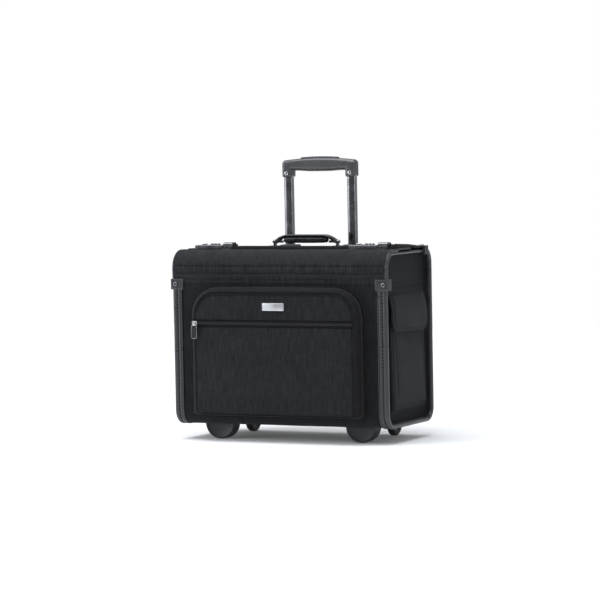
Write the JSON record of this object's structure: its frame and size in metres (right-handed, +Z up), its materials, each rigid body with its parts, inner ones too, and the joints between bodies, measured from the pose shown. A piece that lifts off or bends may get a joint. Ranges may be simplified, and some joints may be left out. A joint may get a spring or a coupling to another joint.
{
  "type": "pilot flight case",
  "caption": "Fabric-covered board case on wheels with front flap, rear-hinged lid, locks, carry handle, zipped and flapped pockets and a telescopic trolley handle.",
  "frame": {"origin": "on the floor under the middle of the whole case", "axes": "+X across the case to the viewer's right, +Y from the front to the back, +Z up along the trolley tubes"},
  "size_m": [0.466, 0.2454, 0.5485],
  "materials": {
    "case_fabric": "black woven nylon",
    "lining_board": "fabric-covered board",
    "trim_leather": "black grained leatherette with a stitched line",
    "clip_metal": "grey lacquered steel",
    "chrome": "bright plated",
    "lock_metal": "satin nickel-plated zinc",
    "dial_plastic": "black with pale numbers",
    "tube_metal": "gloss black lacquered steel tube",
    "black_plastic": "black moulded plastic",
    "button_plastic": "black moulded plastic",
    "tyre_rubber": "black rubber",
    "hub_plastic": "dark grey moulded plastic",
    "zip_metal": "dark nickel",
    "zip_tape": "black woven tape with a moulded coil",
    "badge_metal": "satin silver, blank",
    "steel": "zinc-plated steel",
    "handle_leather": "padded black leatherette"
  },
  "bodies": {
    "case": {"body_wrap": "case_fabric", "end_panel_left": "case_fabric", "end_panel_right": "case_fabric", "end_rims": "trim_leather", "edge_trim_left": "trim_leather", "edge_trim_right": "trim_leather", "trim_clips": "clip_metal", "clip_rivets": "chrome", "front_pocket": "case_fabric", "zip_tape": "zip_tape", "badge_plate": "badge_metal", "side_pocket_left": "case_fabric", "side_pocket_right": "case_fabric", "front_feet": "hub_plastic", "foot_screws": "steel", "wheel_housings": "black_plastic", "wheel_axles": "steel", "outer_tubes": "steel", "trolley_base": "black_plastic", "tube_bezels": "black_plastic"},
    "front_flap": {"front_flap_board": "case_fabric", "flap_trims": "trim_leather", "lock_strikes": "lock_metal"},
    "lid": {"lid_board": "lining_board", "lid_cover": "case_fabric", "lock_bodies": "lock_metal", "dial_spindles": "steel", "latch_pins": "steel", "handle_brackets": "chrome"},
    "carry_handle": {"carry_handle_grip": "handle_leather", "handle_loops": "chrome"},
    "trolley_mid": {"mid_tubes": "tube_metal", "mid_plugs": "black_plastic"},
    "trolley_inner": {"inner_tubes": "tube_metal", "inner_plugs": "black_plastic", "grip_shell": "black_plastic", "grip_brackets": "black_plastic", "grip_screws": "chrome", "button_springs": "steel"},
    "release_button": {"release_button_cap": "button_plastic", "push_rods": "steel"},
    "wheel_left": {"tyre_left": "tyre_rubber", "hub_left": "hub_plastic"},
    "wheel_right": {"tyre_right": "tyre_rubber", "hub_right": "hub_plastic"},
    "zip_slider": {"zip_slider_body": "zip_metal"},
    "zip_pull": {"zip_pull_tab": "zip_metal"},
    "side_flap_left": {"side_pocket_flap_left": "case_fabric"},
    "side_flap_right": {"side_pocket_flap_right": "case_fabric"},
    "lock_slider_left": {"lock_slider_left": "lock_metal"},
    "latch_left": {"latch_left": "chrome"},
    "dial_left_1": {"dial_left_1": "dial_plastic"},
    "dial_left_2": {"dial_left_2": "dial_plastic"},
    "dial_left_3": {"dial_left_3": "dial_plastic"},
    "lock_slider_right": {"lock_slider_right": "lock_metal"},
    "latch_right": {"latch_right": "chrome"},
    "dial_right_1": {"dial_right_1": "dial_plastic"},
    "dial_right_2": {"dial_right_2": "dial_plastic"},
    "dial_right_3": {"dial_right_3": "dial_plastic"}
  },
  "joints": [
    {"name": "front_flap_hinge", "type": "hinge", "parent": "case", "child": "front_flap", "pos_m": [0, -0.0951, 0.316], "axis": [1, 0, 0], "range_deg": [0, 110]},
    {"name": "lid_hinge", "type": "hinge", "parent": "case", "child": "lid", "pos_m": [0, 0.0817, 0.3745], "axis": [-1, 0, 0], "range_deg": [0, 68]},
    {"name": "carry_handle_pivot", "type": "hinge", "parent": "lid", "child": "carry_handle", "pos_m": [0, 0.0357, 0.383], "axis": [1, 0, 0], "range_deg": [-75, 75]},
    {"name": "trolley_lower_stage", "type": "slide", "parent": "case", "child": "trolley_mid", "axis": [0, 0, 1], "range_m": [0, 0.245]},
    {"name": "trolley_upper_stage", "type": "slide", "parent": "trolley_mid", "child": "trolley_inner", "axis": [0, 0, 1], "range_m": [-0.133, 0.125]},
    {"name": "release_button_press", "type": "slide", "parent": "trolley_inner", "child": "release_button", "axis": [0, 0, -1], "range_m": [0, 0.004], "stiffness_N_per_m": 400, "springref_m": -0.003, "deforming": ["button_springs"]},
    {"name": "wheel_left_spin", "type": "hinge", "parent": "case", "child": "wheel_left", "pos_m": [-0.155, 0.0967, 0.025], "axis": [1, 0, 0], "continuous": true},
    {"name": "wheel_right_spin", "type": "hinge", "parent": "case", "child": "wheel_right", "pos_m": [0.155, 0.0967, 0.025], "axis": [1, 0, 0], "continuous": true},
    {"name": "zip_slider_run", "type": "slide", "parent": "case", "child": "zip_slider", "axis": [1, 0, 0], "range_m": [0, 0.335]},
    {"name": "zip_pull_swing", "type": "hinge", "parent": "zip_slider", "child": "zip_pull", "pos_m": [-0.1725, -0.1212, 0.231], "axis": [-1, 0, 0], "range_deg": [0, 120]},
    {"name": "side_flap_right_hinge", "type": "hinge", "parent": "case", "child": "side_flap_right", "pos_m": [0.2153, 0.0162, 0.2875], "axis": [0, -1, 0], "range_deg": [0, 90]},
    {"name": "side_flap_left_hinge", "type": "hinge", "parent": "case", "child": "side_flap_left", "pos_m": [-0.2153, 0.0162, 0.2875], "axis": [0, 1, 0], "range_deg": [0, 90]},
    {"name": "lock_left_slide", "type": "slide", "parent": "lid", "child": "lock_slider_left", "axis": [1, 0, 0], "range_m": [0, 0.005], "stiffness_N_per_m": 60, "springref_m": -0.003},
    {"name": "latch_left_lift", "type": "hinge", "parent": "lid", "child": "latch_left", "pos_m": [-0.1365, -0.0188, 0.3775], "axis": [-1, 0, 0], "range_deg": [0, 62]},
    {"name": "dial_left_1_turn", "type": "hinge", "parent": "lid", "child": "dial_left_1", "pos_m": [-0.175, -0.0271, 0.3761], "axis": [1, 0, 0], "continuous": true},
    {"name": "dial_left_2_turn", "type": "hinge", "parent": "lid", "child": "dial_left_2", "pos_m": [-0.168, -0.0271, 0.3761], "axis": [1, 0, 0], "continuous": true},
    {"name": "dial_left_3_turn", "type": "hinge", "parent": "lid", "child": "dial_left_3", "pos_m": [-0.161, -0.0271, 0.3761], "axis": [1, 0, 0], "continuous": true},
    {"name": "lock_right_slide", "type": "slide", "parent": "lid", "child": "lock_slider_right", "axis": [1, 0, 0], "range_m": [0, 0.005], "stiffness_N_per_m": 60, "springref_m": -0.003},
    {"name": "latch_right_lift", "type": "hinge", "parent": "lid", "child": "latch_right", "pos_m": [0.1965, -0.0188, 0.3775], "axis": [-1, 0, 0], "range_deg": [0, 62]},
    {"name": "dial_right_1_turn", "type": "hinge", "parent": "lid", "child": "dial_right_1", "pos_m": [0.158, -0.0271, 0.3761], "axis": [1, 0, 0], "continuous": true},
    {"name": "dial_right_2_turn", "type": "hinge", "parent": "lid", "child": "dial_right_2", "pos_m": [0.165, -0.0271, 0.3761], "axis": [1, 0, 0], "continuous": true},
    {"name": "dial_right_3_turn", "type": "hinge", "parent": "lid", "child": "dial_right_3", "pos_m": [0.172, -0.0271, 0.3761], "axis": [1, 0, 0], "continuous": true}
  ]
}
